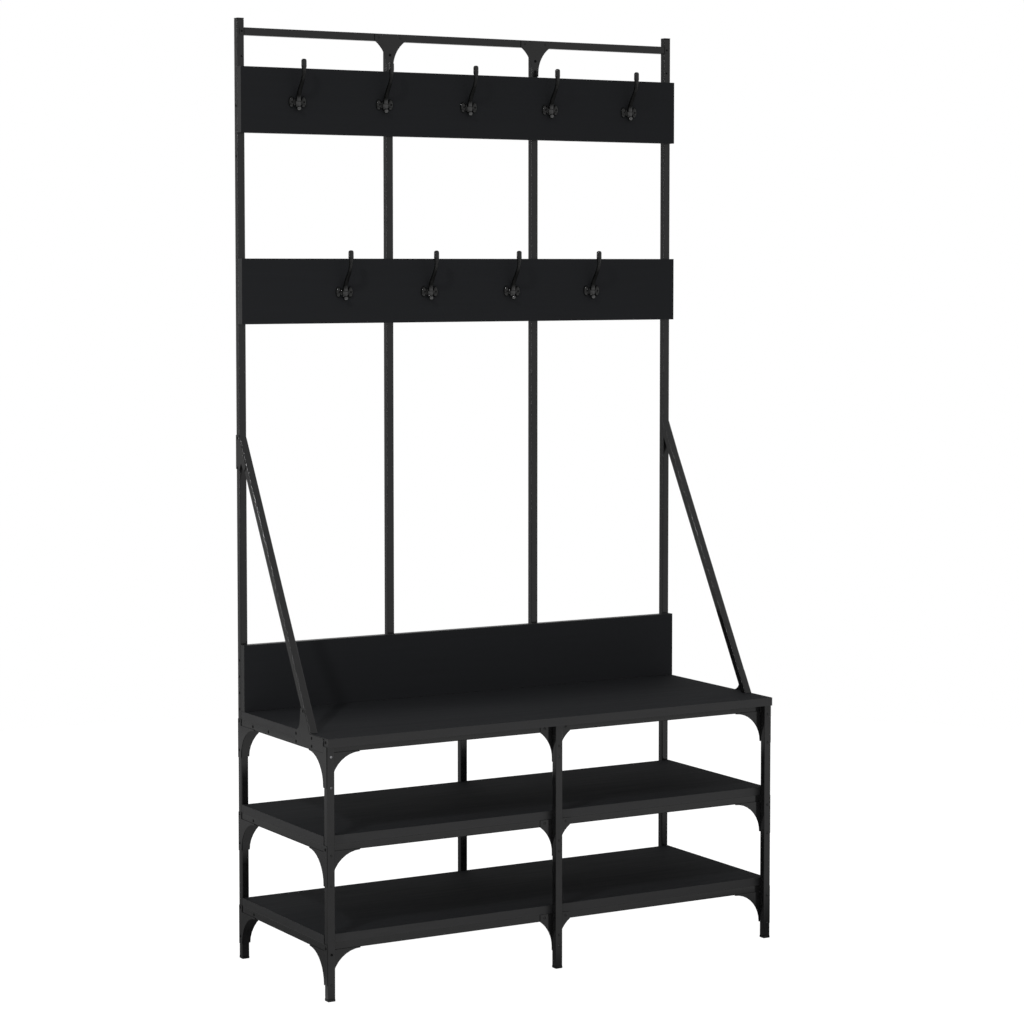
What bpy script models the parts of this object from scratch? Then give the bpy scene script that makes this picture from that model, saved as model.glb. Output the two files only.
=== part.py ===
"""Hall tree with a bench, two shoe shelves and coat hooks: square steel tube, boards and cast hooks.

Metres, +Z up, +X to the user's right, the front facing -Y. The origin is on the floor, under the
middle of the whole object.
"""
from math import atan2, cos, degrees, pi, radians, sin, sqrt, tan

import bmesh
import bpy
from mathutils import Matrix, Vector

# ---------------------------------------------------------------- driving dimensions
WIDTH = 1.000            # across the outer faces of the outer posts
DEPTH = 0.392            # front faces of the legs to rear faces of the posts
HEIGHT = 1.840           # top of the post caps
SEAT_LIP = 0.004         # the seat board reaches this far past the legs in front

TUBE = 0.0150            # square tube, outside
WALL = 0.0010            # its wall
CORNER = 0.0018          # its outer corner radius
GAP = 0.0003             # clearance between touching pieces
BOARD = 0.015            # thickness of every board
PLATE = 0.0015           # pressed steel plate
THIN_PLATE = 0.0010      # the plates on the outer sides
SEAM = 0.0012            # how deep a welded plate runs into the wall above it

SEAT_TOP = 0.492
MIDDLE_SHELF_TOP = 0.3074
BOTTOM_SHELF_TOP = 0.1222
TOP_RAIL_TOP = 1.822
INNER_POST_X = 0.168     # inner posts stand this far left and right of the middle

HOOK_BOARD_HEIGHT = 0.1275
UPPER_BOARD_TOP = 1.7463
LOWER_BOARD_TOP = 1.3763
BACKREST_TOP = 0.6232

HOOK_PITCH = 0.1913
HOOK_DROP = 0.003        # hook centre below the middle of its board
UPPER_HOOK_SHIFT = 0.0028    # each row of hooks sits a little right of the middle
LOWER_HOOK_SHIFT = 0.0078
HOOK_EAR_X = 0.0128      # centre of a hook base's ear, from the middle
HOOK_EAR = 0.0062        # half width of an ear
HOOK_MIDDLE = 0.0080     # half width of the taller middle of the base
HOOK_STRETCH = 1.5       # ears and middle are this much taller than round
HOOK_BASE = 0.0028       # thickness of the base
ARM_PATH = ((-0.0065, 0.004), (-0.0050, 0.030), (-0.0340, 0.036), (-0.0310, 0.069))  # Y and Z of a cubic
ARM_WIDTHS = (0.0048, 0.0030)    # half width of the arm, at the base and under the tip
ARM_DEPTHS = (0.0040, 0.0028)    # half thickness
TIP_RADIUS = 0.0052
TIP_STRETCH = 1.29       # the tip is this much taller than a ball
TIP_LIFT = 0.0075        # its middle above the arm's end
BOSS_WIDTH = 0.0066      # half width of the boss in the middle of the base
BOSS_DEPTH = 0.0052
BOSS_HEIGHT = 0.0125     # half height
BOSS_OUT = 0.0050        # how far its middle stands in front of the board
BOSS_DROP = 0.0035
UPPER_HOOKS = 5
LOWER_HOOKS = 4

GUSSET = 0.060           # corner gusset, arc from rail to leg
LEG_LAP = 0.0129         # how far a side gusset laps over the leg
RAIL_LAP = 0.0020        # and over the rail's lower edge
WELD_INSET = 0.006       # the weld behind a side gusset stops this far from its ends
WELD_HEIGHT = 0.0012
GUSSET_TIP = 0.0008      # a gusset's pointed end is left this wide
ARC_STEPS = 9
TEE_HALF = 0.0335        # tee plate: half width at the rail
TEE_STEM = 0.058         # tee plate: length below the rail
TEE_ARC = 0.062          # radius of its two concave edges
TEE_HOLE_X = 0.024       # its screws in the rail, left and right of the middle
TEE_HOLE_DROPS = (0.027, 0.048)
TEE_TOP = 0.001          # the tee stops this far below the rail's top
SCREW_HOLE = 0.0022      # radius

BRACE_TOP = 1.0302       # where a brace's upper edge meets the post
BRACE_ANGLE = radians(29.83)   # lean of the brace from the vertical
PLATE_INSET = 0.0008     # a brace plate's edges stay this far inside the edges of the tubes
EDGE_INSET = 0.0026      # and this far behind a brace's front edge, so that its round corner shows
UPPER_PLATE_RISE = 0.003     # brace plates, in height from BRACE_TOP and in depth from the brace
UPPER_PLATE_DROP = 0.0635
UPPER_PLATE_CROTCH = 0.052
UPPER_PLATE_BEND = 0.0085
LOWER_PLATE_NECK = 0.043     # neck, above the seat
LOWER_PLATE_REAR = 0.048
LOWER_PLATE_SHOULDER = 0.021
FOOT_HEIGHT = 0.005
FOOT_WIDTH = 0.0152
CAP_HEIGHT = 0.0025
PLUG_DEPTH = 0.014

# ---------------------------------------------------------------- derived places
FOOT_REACH = (FOOT_WIDTH - TUBE) / 2    # how far a foot stands out from its tube
SEAT_FRONT = -(DEPTH + SEAT_LIP + FOOT_REACH) / 2
LEG_FRONT = SEAT_FRONT + SEAT_LIP
LEG_REAR = LEG_FRONT + TUBE
POST_REAR = -SEAT_FRONT - FOOT_REACH
POST_FRONT = POST_REAR - TUBE
SIDE = WIDTH / 2                       # outer face of the outer posts
OUTER_X = SIDE - TUBE / 2              # centre line of the outer posts
FRAME_FRONT = LEG_REAR + GAP + PLATE   # front face of the front rails
FRAME_REAR = POST_FRONT - GAP          # rear face of the rear rails
BOARD_FACE = POST_FRONT - GAP - BOARD  # front face of the upright boards
RAIL_BELOW_TOP = BOARD + GAP           # top of a rail, below the top of the board it carries
LEG_TOP = SEAT_TOP - BOARD - GAP
LEVELS = {"seat": SEAT_TOP, "middle_shelf": MIDDLE_SHELF_TOP, "bottom_shelf": BOTTOM_SHELF_TOP}

METAL = ((0.012, 0.012, 0.0125), 0.22, 0.0)
WOOD = ((0.013, 0.014, 0.015), 0.5, 0.0)
CAST = ((0.008, 0.008, 0.008), 0.16, 0.0)
PLASTIC = ((0.010, 0.010, 0.010), 0.5, 0.0)


# ---------------------------------------------------------------- helpers
def clear_scene():
    for item in list(bpy.data.objects):
        bpy.data.objects.remove(item)


def make_material(name, look):
    colour, roughness, metallic = look
    material = bpy.data.materials.new(name)
    material.use_nodes = True
    shader = material.node_tree.nodes["Principled BSDF"]
    shader.inputs["Base Color"].default_value = (*colour, 1.0)
    shader.inputs["Roughness"].default_value = roughness
    shader.inputs["Metallic"].default_value = metallic
    return material


def add_object(name, mesh, look, smooth_angle=None):
    """Link a mesh as a named sub-part with its own material."""
    item = bpy.data.objects.new(name, mesh)
    bpy.context.collection.objects.link(item)
    mesh.materials.clear()
    mesh.materials.append(make_material(name, look))
    if smooth_angle is not None:
        mesh.shade_smooth()
        mesh.set_sharp_from_angle(angle=radians(smooth_angle))
    return item


def mesh_from(bm, name):
    bmesh.ops.recalc_face_normals(bm, faces=bm.faces)
    mesh = bpy.data.meshes.new(name)
    bm.to_mesh(mesh)
    bm.free()
    return mesh


def rounded_square(side, radius, steps=3):
    """Corner points of a square with round corners, anticlockwise about its centre."""
    points = []
    reach = side / 2 - radius
    for quarter in range(4):
        corner = radians(45 + 90 * quarter)
        centre = Vector((reach * (1 if cos(corner) > 0 else -1), reach * (1 if sin(corner) > 0 else -1)))
        for step in range(steps + 1):
            angle = radians(90 * quarter) + radians(90) * step / steps
            points.append(centre + Vector((cos(angle), sin(angle))) * radius)
    return points


def tube_mesh(name, start, end, start_normal=None, end_normal=None):
    """Hollow square tube, open at both ends, each end cut square or along a given plane."""
    start, end = Vector(start), Vector(end)
    axis = (end - start).normalized()
    across = Vector((1, 0, 0)) if abs(axis.x) < 0.5 else Vector((0, 1, 0))
    third = axis.cross(across)
    cuts = ((start, start_normal or axis), (end, end_normal or axis))
    bm = bmesh.new()
    rings = []
    for side, radius in ((TUBE, CORNER), (TUBE - 2 * WALL, CORNER - WALL)):
        for origin, normal in cuts:
            normal = Vector(normal)
            ring = []
            for point in rounded_square(side, radius):
                offset = across * point.x + third * point.y
                slide = -offset.dot(normal) / axis.dot(normal)
                ring.append(bm.verts.new(origin + offset + axis * slide))
            rings.append(ring)
    outer_start, outer_end, inner_start, inner_end = rings
    count = len(outer_start)
    for i in range(count):
        j = (i + 1) % count
        bm.faces.new((outer_start[i], outer_start[j], outer_end[j], outer_end[i]))
        bm.faces.new((inner_start[j], inner_start[i], inner_end[i], inner_end[j]))
        bm.faces.new((outer_start[j], outer_start[i], inner_start[i], inner_start[j]))
        bm.faces.new((outer_end[i], outer_end[j], inner_end[j], inner_end[i]))
    return mesh_from(bm, name)


def add_tube(name, start, end, **cuts):
    return add_object(name, tube_mesh(name, start, end, **cuts), METAL, smooth_angle=35)


def outline_mesh(name, outline, plane, low, high):
    """Flat plate: a closed outline in plane "xz" or "yz", between two places along the third axis."""
    bm = bmesh.new()
    layers = []
    for place in (low, high):
        if plane == "xz":
            layers.append([bm.verts.new((u, place, z)) for u, z in outline])
        else:
            layers.append([bm.verts.new((place, u, z)) for u, z in outline])
    count = len(outline)
    bm.faces.new(layers[0])
    bm.faces.new(list(reversed(layers[1])))
    for i in range(count):
        j = (i + 1) % count
        bm.faces.new((layers[0][j], layers[0][i], layers[1][i], layers[1][j]))
    return mesh_from(bm, name)


def box_mesh(name, low, high, bevel=0.0):
    bm = bmesh.new()
    bmesh.ops.create_cube(bm, size=1.0)
    middle = (Vector(low) + Vector(high)) / 2
    size = Vector(high) - Vector(low)
    for vert in bm.verts:
        vert.co = Vector([vert.co[i] * size[i] + middle[i] for i in range(3)])
    if bevel:
        bmesh.ops.bevel(bm, geom=bm.edges[:], offset=bevel, segments=2, profile=0.5, affect="EDGES")
    return mesh_from(bm, name)


def rod_mesh(name, centre, axis, radius, length, sides=12):
    """Closed cylinder about a centre, for cutting a screw hole."""
    bm = bmesh.new()
    turn = Vector(axis).to_track_quat("Z", "Y").to_matrix().to_4x4()
    bmesh.ops.create_cone(bm, cap_ends=True, segments=sides, radius1=radius, radius2=radius,
                          depth=length, matrix=Matrix.Translation(centre) @ turn)
    return mesh_from(bm, name)


def combine(item, other_meshes, operation):
    """Apply a Boolean of each mesh to the object, so that it stays one closed body."""
    for mesh in other_meshes:
        other = bpy.data.objects.new("cutter", mesh)
        bpy.context.collection.objects.link(other)
        change = item.modifiers.new("join", "BOOLEAN")
        change.operation = operation
        change.solver = "EXACT"
        change.object = other
        bpy.context.view_layer.update()
        graph = bpy.context.evaluated_depsgraph_get()
        result = bpy.data.meshes.new_from_object(item.evaluated_get(graph))
        item.modifiers.clear()
        result.name = item.name
        item.data = result
        bpy.data.objects.remove(other)


def arc(centre, radius, first, last, steps):
    """Points along an arc from angle first to angle last, in degrees."""
    points = []
    for step in range(steps + 1):
        angle = radians(first + (last - first) * step / steps)
        points.append((centre[0] + radius * cos(angle), centre[1] + radius * sin(angle)))
    return points


# ---------------------------------------------------------------- posts, legs and top rail
def add_posts():
    top = HEIGHT - CAP_HEIGHT - GAP
    y = (POST_FRONT + POST_REAR) / 2
    for side, label in ((-1, "left"), (1, "right")):
        x = side * OUTER_X
        add_tube("rear_post_" + label, (x, y, FOOT_HEIGHT + GAP), (x, y, top))
    rail_z = TOP_RAIL_TOP - TUBE / 2
    reach = OUTER_X - TUBE / 2 - GAP
    add_tube("top_rail", (-reach, y, rail_z), (reach, y, rail_z))
    bottom = SEAT_TOP - RAIL_BELOW_TOP - TUBE
    for side, label in ((-1, "left"), (1, "right")):
        x = side * INNER_POST_X
        add_tube("inner_post_" + label, (x, y, bottom), (x, y, TOP_RAIL_TOP - TUBE - GAP))


def add_legs():
    front = (LEG_FRONT + LEG_REAR) / 2
    rear = (POST_FRONT + POST_REAR) / 2
    bottom = FOOT_HEIGHT + GAP
    for x, label in ((-OUTER_X, "left"), (0.0, "middle"), (OUTER_X, "right")):
        add_tube("front_leg_" + label, (x, front, bottom), (x, front, LEG_TOP))
    add_tube("rear_leg_middle", (0.0, rear, bottom), (0.0, rear, LEG_TOP))


def foot_places():
    front = (LEG_FRONT + LEG_REAR) / 2
    rear = (POST_FRONT + POST_REAR) / 2
    rows = (("front", front), ("rear", rear))
    columns = (("left", -OUTER_X), ("middle", 0.0), ("right", OUTER_X))
    return [(row + "_" + column, x, y) for row, y in rows for column, x in columns]


def plug_block(name, x, y, flange_low, flange_high, plug_low, plug_high, width):
    """Moulded square flange with a plug that fits inside the tube."""
    half = width / 2
    item = add_object(name, box_mesh(name, (x - half, y - half, flange_low),
                                     (x + half, y + half, flange_high), bevel=0.0009), PLASTIC)
    inside = TUBE / 2 - WALL - GAP
    plug = box_mesh("plug", (x - inside, y - inside, plug_low), (x + inside, y + inside, plug_high))
    combine(item, [plug], "UNION")


def add_feet_and_caps():
    for label, x, y in foot_places():
        plug_block("foot_" + label, x, y, 0.0, FOOT_HEIGHT,
                   FOOT_HEIGHT / 2, FOOT_HEIGHT + PLUG_DEPTH, FOOT_WIDTH)
    y = (POST_FRONT + POST_REAR) / 2
    for side, label in ((-1, "left"), (1, "right")):
        low = HEIGHT - CAP_HEIGHT
        plug_block("post_cap_" + label, side * OUTER_X, y, low, HEIGHT,
                   low - PLUG_DEPTH, HEIGHT - CAP_HEIGHT / 2, TUBE)


# ---------------------------------------------------------------- seat and shelf frames
def gusset_outline(corner, outward, level):
    """Quarter-arc gusset below a rail, which starts at the leg's far edge and goes outward."""
    leg_edge = corner + outward * TUBE
    centre = (leg_edge + outward * GUSSET, level - GUSSET)
    sweep = (90, 180) if outward > 0 else (90, 0)
    outline = [(corner, level - GAP), (leg_edge + outward * GAP, level - GAP)]
    outline += [(leg_edge + outward * GAP, level + SEAM), (centre[0], level + SEAM)]
    outline += arc(centre, GUSSET - GUSSET_TIP, *sweep, ARC_STEPS)
    outline += [(corner, level - GUSSET)]
    return outline


def add_frames():
    for label, top in LEVELS.items():
        rail_top = top - RAIL_BELOW_TOP
        z = rail_top - TUBE / 2
        under = rail_top - TUBE
        inner = SIDE - TUBE - GAP
        rows = (("front", FRAME_FRONT + TUBE / 2, LEG_REAR + GAP, FRAME_FRONT + WALL / 2),
                ("rear", FRAME_REAR - TUBE / 2, FRAME_REAR - WALL / 4 - PLATE, FRAME_REAR - WALL / 4))
        for row, y, plate_low, plate_high in rows:
            item = add_tube(label + "_" + row + "_rail", (-inner, y, z), (inner, y, z))
            plates = []
            for side in (-1, 1):
                outline = gusset_outline(side * (SIDE - GAP), -side, under)
                plates.append(outline_mesh("gusset", outline, "xz", plate_low, plate_high))
            combine(item, plates, "UNION")
        for side, name in ((-1, "left"), (1, "right")):
            add_side_rail(label + "_" + name + "_rail", side, z)


def add_side_rail(name, side, z):
    """Side rail with a thin gusset outside each end, which laps over the leg or post."""
    x = side * OUTER_X
    item = add_tube(name, (x, LEG_REAR + GAP, z), (x, POST_FRONT - GAP, z))
    outer = sorted((side * (SIDE + GAP), side * (SIDE + GAP + THIN_PLATE)))
    weld = sorted((side * (SIDE - WALL * 0.9), side * (SIDE + GAP + THIN_PLATE / 2)))
    weld_top = z - TUBE / 2 + RAIL_LAP - GAP
    for corner, along in ((LEG_REAR, 1), (POST_FRONT, -1)):
        plate = outline_mesh("gusset", side_gusset_outline(corner, along, z), "yz", *outer)
        ends = sorted((corner + along * WELD_INSET, corner + along * (GUSSET - WELD_INSET)))
        bead = box_mesh("weld", (weld[0], ends[0], weld_top - WELD_HEIGHT), (weld[1], ends[1], weld_top))
        combine(item, [bead, plate], "UNION")


def side_gusset_outline(corner, along, z):
    """Tab over the leg's side, lap over the rail's lower edge, and a quarter arc between them."""
    foot = z - TUBE / 2 - GUSSET
    lap = z - TUBE / 2 + RAIL_LAP
    tab_top = z + TUBE / 2 - GAP
    end = corner + along * GUSSET
    sweep = (90, 180) if along > 0 else (90, 0)
    outline = [(corner - along * LEG_LAP, tab_top), (corner, tab_top), (corner, lap), (end, lap)]
    outline += arc((end, foot), GUSSET - GUSSET_TIP, *sweep, ARC_STEPS)
    outline += [(corner + along * GUSSET_TIP, foot - RAIL_LAP), (corner - along * LEG_LAP, foot - RAIL_LAP)]
    return outline


# ---------------------------------------------------------------- boards
def add_board(name, low, high):
    return add_object(name, box_mesh(name, low, high, bevel=0.0008), WOOD)


def add_boards():
    add_board("seat_board", (-SIDE, SEAT_FRONT, SEAT_TOP - BOARD), (SIDE, POST_FRONT - GAP, SEAT_TOP))
    for label in ("middle_shelf", "bottom_shelf"):
        top = LEVELS[label]
        add_board(label, (-SIDE, FRAME_FRONT, top - BOARD), (SIDE, FRAME_REAR, top))
    add_board("backrest_board", (-SIDE, BOARD_FACE, SEAT_TOP + GAP), (SIDE, BOARD_FACE + BOARD, BACKREST_TOP))
    for label, top in (("upper_hook_board", UPPER_BOARD_TOP), ("lower_hook_board", LOWER_BOARD_TOP)):
        add_board(label, (-SIDE, BOARD_FACE, top - HOOK_BOARD_HEIGHT), (SIDE, BOARD_FACE + BOARD, top))


# ---------------------------------------------------------------- tee plates
def tee_outline(x, rail_bottom, rail_height):
    """Tee over a rail and an upright: straight over the rail, two concave edges down to the stem."""
    half_stem = TUBE / 2
    centre_x = half_stem + TEE_ARC
    drop = sqrt(TEE_ARC ** 2 - (centre_x - TEE_HALF) ** 2)
    centre_z = rail_bottom - drop
    start = atan2(drop, TEE_HALF - centre_x)
    right = arc((centre_x, centre_z), TEE_ARC, degrees(start), 180, 8)
    right = [(TEE_HALF, rail_bottom + rail_height)] + right + [(half_stem, rail_bottom - TEE_STEM)]
    left = [(-u, z) for u, z in reversed(right)]
    return [(x + u, z) for u, z in right + left]


def add_tee(name, x, rail_bottom, front, rear):
    """Tee plate with its four screw holes, between the depths front and rear."""
    outline = tee_outline(x, rail_bottom, TUBE - TEE_TOP)
    item = add_object(name, outline_mesh(name, outline, "xz", front, rear), METAL)
    middle = (front + rear) / 2
    holes = [(x - TEE_HOLE_X, rail_bottom + TUBE / 2), (x + TEE_HOLE_X, rail_bottom + TUBE / 2)]
    holes += [(x, rail_bottom - drop) for drop in TEE_HOLE_DROPS]
    cutters = [rod_mesh("hole", (u, middle, z), (0, 1, 0), SCREW_HOLE, 4 * PLATE) for u, z in holes]
    combine(item, cutters, "DIFFERENCE")


def add_tees():
    for side, label in ((-1, "left"), (1, "right")):
        rear = POST_FRONT - GAP
        add_tee("top_tee_plate_" + label, side * INNER_POST_X, TOP_RAIL_TOP - TUBE, rear - PLATE, rear)
    for label, top in LEVELS.items():
        rail_bottom = top - RAIL_BELOW_TOP - TUBE
        add_tee(label + "_tee_plate", 0.0, rail_bottom, LEG_REAR + GAP, FRAME_FRONT - GAP)


# ---------------------------------------------------------------- side braces
def brace_edge(z, lower=False):
    """Y of a brace's upper or lower edge at height z."""
    y = POST_FRONT - (BRACE_TOP - z) * tan(BRACE_ANGLE)
    return y + TUBE / cos(BRACE_ANGLE) if lower else y


def upper_brace_plate():
    """Outline over the post's side and the brace's side, hollowed where the two part."""
    top, bottom = BRACE_TOP + UPPER_PLATE_RISE, BRACE_TOP - UPPER_PLATE_DROP
    crotch = BRACE_TOP - UPPER_PLATE_CROTCH
    slope = TUBE * sin(BRACE_ANGLE)
    ahead, behind = bottom + slope, bottom - slope / 2
    outline = [(POST_REAR - PLATE_INSET, bottom), (POST_REAR - PLATE_INSET, top), (POST_FRONT + EDGE_INSET, top)]
    outline += [(brace_edge(ahead) + EDGE_INSET, ahead)]
    outline += [(brace_edge(behind, lower=True) - PLATE_INSET, behind)]
    outline += [(brace_edge(crotch - TUBE, lower=True) - PLATE_INSET, crotch - TUBE)]
    outline += [(POST_FRONT - UPPER_PLATE_BEND, crotch), (POST_FRONT - GAP, crotch - TUBE)]
    outline += [(POST_FRONT + GAP, bottom)]
    return outline


def lower_brace_plate():
    """Inverted tee: a foot over the seat's side, a neck up the brace's side, concave shoulders."""
    foot_low = SEAT_TOP - RAIL_BELOW_TOP - TUBE + RAIL_LAP + GAP
    foot_high = SEAT_TOP - PLATE_INSET
    neck_top = SEAT_TOP + LOWER_PLATE_NECK
    front = LEG_REAR + GAP
    rear = brace_edge(SEAT_TOP, lower=True) + LOWER_PLATE_REAR
    outline = [(front, foot_low), (rear, foot_low), (rear, foot_high)]
    outline += arc((rear, foot_high + LOWER_PLATE_SHOULDER), LOWER_PLATE_SHOULDER, 270, 180, ARC_STEPS // 2)
    outline += [(brace_edge(neck_top, lower=True) - PLATE_INSET, neck_top)]
    outline += [(brace_edge(neck_top) + EDGE_INSET, neck_top)]
    outline += [(brace_edge(foot_high) + EDGE_INSET, foot_high), (front, foot_high)]
    return outline


def add_braces():
    for side, label in ((-1, "left"), (1, "right")):
        x = side * OUTER_X
        half = TUBE / 2
        centre_top = POST_FRONT - GAP, BRACE_TOP - half / sin(BRACE_ANGLE)
        centre_bottom = brace_edge(SEAT_TOP + GAP) + half / cos(BRACE_ANGLE), SEAT_TOP + GAP
        add_tube("side_brace_" + label, (x, *centre_bottom), (x, *centre_top),
                 start_normal=(0, 0, 1), end_normal=(0, 1, 0))
        faces = sorted((side * (SIDE + GAP), side * (SIDE + GAP + THIN_PLATE)))
        for name, outline in (("upper", upper_brace_plate()), ("lower", lower_brace_plate())):
            plate = outline_mesh("plate", outline, "yz", *faces)
            add_object("brace_%s_plate_%s" % (name, label), plate, METAL)


# ---------------------------------------------------------------- coat hooks
def sweep_mesh(name, points, sides=10):
    """Closed skin through rings given as (place, tangent, half width in X, half thickness)."""
    bm = bmesh.new()
    rings = []
    for place, tangent, half_x, half_n in points:
        normal = Vector(tangent).normalized().cross(Vector((1, 0, 0)))
        ring = []
        for i in range(sides):
            angle = 2 * pi * i / sides
            offset = Vector((cos(angle) * half_x, 0, 0)) + normal * (sin(angle) * half_n)
            ring.append(bm.verts.new(Vector(place) + offset))
        rings.append(ring)
    for lower, upper in zip(rings, rings[1:]):
        for i in range(sides):
            j = (i + 1) % sides
            bm.faces.new((lower[i], lower[j], upper[j], upper[i]))
    for ring, flip in ((rings[0], True), (rings[-1], False)):
        bm.faces.new(list(reversed(ring)) if flip else ring)
    return mesh_from(bm, name)


def hook_arm_rings():
    """Long upper arm: a cubic from the boss up, then forward and up, ending in a pill-shaped tip."""
    p0, p1, p2, p3 = [Vector((0, y, z)) for y, z in ARM_PATH]
    rings = []
    for step in range(ARC_STEPS + 1):
        t = step / ARC_STEPS
        place = p0 * (1 - t) ** 3 + p1 * (3 * t * (1 - t) ** 2) + p2 * (3 * t * t * (1 - t)) + p3 * t ** 3
        tangent = (p1 - p0) * (1 - t) ** 2 + (p2 - p1) * (2 * t * (1 - t)) + (p3 - p2) * t * t
        half_x = ARM_WIDTHS[0] + (ARM_WIDTHS[1] - ARM_WIDTHS[0]) * t
        half_n = ARM_DEPTHS[0] + (ARM_DEPTHS[1] - ARM_DEPTHS[0]) * t
        rings.append((place, tangent, half_x, half_n))
    for angle in (-50, -15, 15, 50, 80):
        lift = TIP_LIFT + TIP_RADIUS * TIP_STRETCH * sin(radians(angle))
        width = TIP_RADIUS * cos(radians(angle))
        rings.append((p3 + Vector((0, 0, lift)), (0, 0, 1), width, width))
    return rings


def hook_boss_rings():
    """Upright rounded boss in the middle of the base, which ends below in a blunt nose."""
    rings = []
    for angle in (-78, -52, -26, 0, 26, 52, 78):
        shrink = cos(radians(angle))
        place = (0, -BOSS_OUT, BOSS_HEIGHT * sin(radians(angle)) - BOSS_DROP)
        rings.append((place, (0, 0, 1), BOSS_WIDTH * shrink, BOSS_DEPTH * shrink))
    return rings


def hook_base_outline():
    """Two upright oval ears joined by a taller middle."""
    outline = arc((HOOK_EAR_X, 0), HOOK_EAR, -80, 80, 6) + arc((0, 0), HOOK_MIDDLE, 50, 130, 5)
    outline += arc((-HOOK_EAR_X, 0), HOOK_EAR, 100, 260, 6) + arc((0, 0), HOOK_MIDDLE, 230, 310, 5)
    return [(u, z * HOOK_STRETCH) for u, z in outline]


def hook_mesh():
    base = outline_mesh("coat_hook", hook_base_outline(), "xz", -HOOK_BASE, 0.0)
    item = bpy.data.objects.new("hook", base)
    bpy.context.collection.objects.link(item)
    combine(item, [sweep_mesh("arm", hook_arm_rings()), sweep_mesh("boss", hook_boss_rings())], "UNION")
    mesh = item.data
    bpy.data.objects.remove(item)
    return mesh


def hook_places():
    places = []
    for label, count, top, shift in (("upper", UPPER_HOOKS, UPPER_BOARD_TOP, UPPER_HOOK_SHIFT),
                                     ("lower", LOWER_HOOKS, LOWER_BOARD_TOP, LOWER_HOOK_SHIFT)):
        z = top - HOOK_BOARD_HEIGHT / 2 - HOOK_DROP
        for i in range(count):
            x = (i - (count - 1) / 2) * HOOK_PITCH + shift
            places.append(("coat_hook_%s_%d" % (label, i + 1), (x, BOARD_FACE - GAP, z)))
    return places


def add_hooks():
    shape = hook_mesh()
    for name, place in hook_places():
        item = add_object(name, shape.copy(), CAST, smooth_angle=50)
        item.location = place


def main():
    clear_scene()
    add_posts()
    add_legs()
    add_feet_and_caps()
    add_frames()
    add_boards()
    add_tees()
    add_braces()
    add_hooks()


main()
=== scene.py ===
"""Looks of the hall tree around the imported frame: paint, boards, cast hooks, screws, feet and caps.

Everything is in metres in the frame's own axes. Places are read from the frame's boxes.
"""

from math import cos, pi, radians, sin

import bmesh
import bpy
from mathutils import Matrix, Vector


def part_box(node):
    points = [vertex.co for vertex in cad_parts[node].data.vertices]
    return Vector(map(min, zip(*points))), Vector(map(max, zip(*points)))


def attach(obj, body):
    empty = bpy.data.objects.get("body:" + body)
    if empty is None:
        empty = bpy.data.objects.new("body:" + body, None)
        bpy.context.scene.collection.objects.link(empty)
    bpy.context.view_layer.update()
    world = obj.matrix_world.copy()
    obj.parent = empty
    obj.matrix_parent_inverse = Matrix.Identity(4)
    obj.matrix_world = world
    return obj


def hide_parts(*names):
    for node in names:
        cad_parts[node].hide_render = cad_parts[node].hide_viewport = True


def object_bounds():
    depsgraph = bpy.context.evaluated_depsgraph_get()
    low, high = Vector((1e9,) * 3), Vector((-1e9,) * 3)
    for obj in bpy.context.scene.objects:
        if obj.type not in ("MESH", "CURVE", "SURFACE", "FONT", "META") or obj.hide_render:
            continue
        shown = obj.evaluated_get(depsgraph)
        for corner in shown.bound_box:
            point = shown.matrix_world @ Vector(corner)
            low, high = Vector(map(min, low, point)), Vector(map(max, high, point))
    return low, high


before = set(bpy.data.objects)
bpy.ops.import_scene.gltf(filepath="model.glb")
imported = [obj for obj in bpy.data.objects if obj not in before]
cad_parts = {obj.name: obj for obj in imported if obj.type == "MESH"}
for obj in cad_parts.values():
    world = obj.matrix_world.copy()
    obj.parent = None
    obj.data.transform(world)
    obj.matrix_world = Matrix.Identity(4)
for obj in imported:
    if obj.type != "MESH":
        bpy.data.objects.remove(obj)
cad_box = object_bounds()
BODY = "root"
LEVELS = ("seat", "middle_shelf", "bottom_shelf")
SIDES = ((-1, "left"), (1, "right"))
BOARDS = ("seat_board", "middle_shelf", "bottom_shelf",
          "backrest_board", "upper_hook_board", "lower_hook_board")

# ---------------------------------------------------------------- places read from the frame
POST_LOW, POST_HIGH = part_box("rear_post_left")
LEG_LOW, LEG_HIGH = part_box("front_leg_left")
TUBE = POST_HIGH.x - POST_LOW.x
SIDE = -POST_LOW.x                     # outer face of the outer posts
POST_FRONT, POST_REAR = POST_LOW.y, POST_HIGH.y
LEG_FRONT, LEG_REAR = LEG_LOW.y, LEG_HIGH.y
INNER_POST_X = sum(v.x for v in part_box("inner_post_right")) / 2
FLOOR = cad_box[0].z


# ---------------------------------------------------------------- camera, floor and light
CAMERA_LENS = 98.72
CAMERA_SHIFT = -0.07                   # the picture reaches this part of its width further down
CAMERA_PLACE = (-2.7885, -4.7943, 1.3639)
CAMERA_TILT, CAMERA_TURN = 3.575, 30.246   # degrees downwards and to the right

ROOM_BACK, ROOM_FRONT = 0.45, 1.05     # brightness of the room behind and in front of the object
ROOM_WAY = (0.35, -0.94, 0.0)          # where it is brightest
ROOM_BELOW = 0.45                      # how much of that is left well below the horizon
ROOM_ZENITH = 0.35                     # and straight above
BELOW_HEIGHTS = (-0.4, -0.1)           # the first is fully below the horizon, the second not at all
ZENITH_HEIGHTS = (0.75, 1.0)

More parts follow.
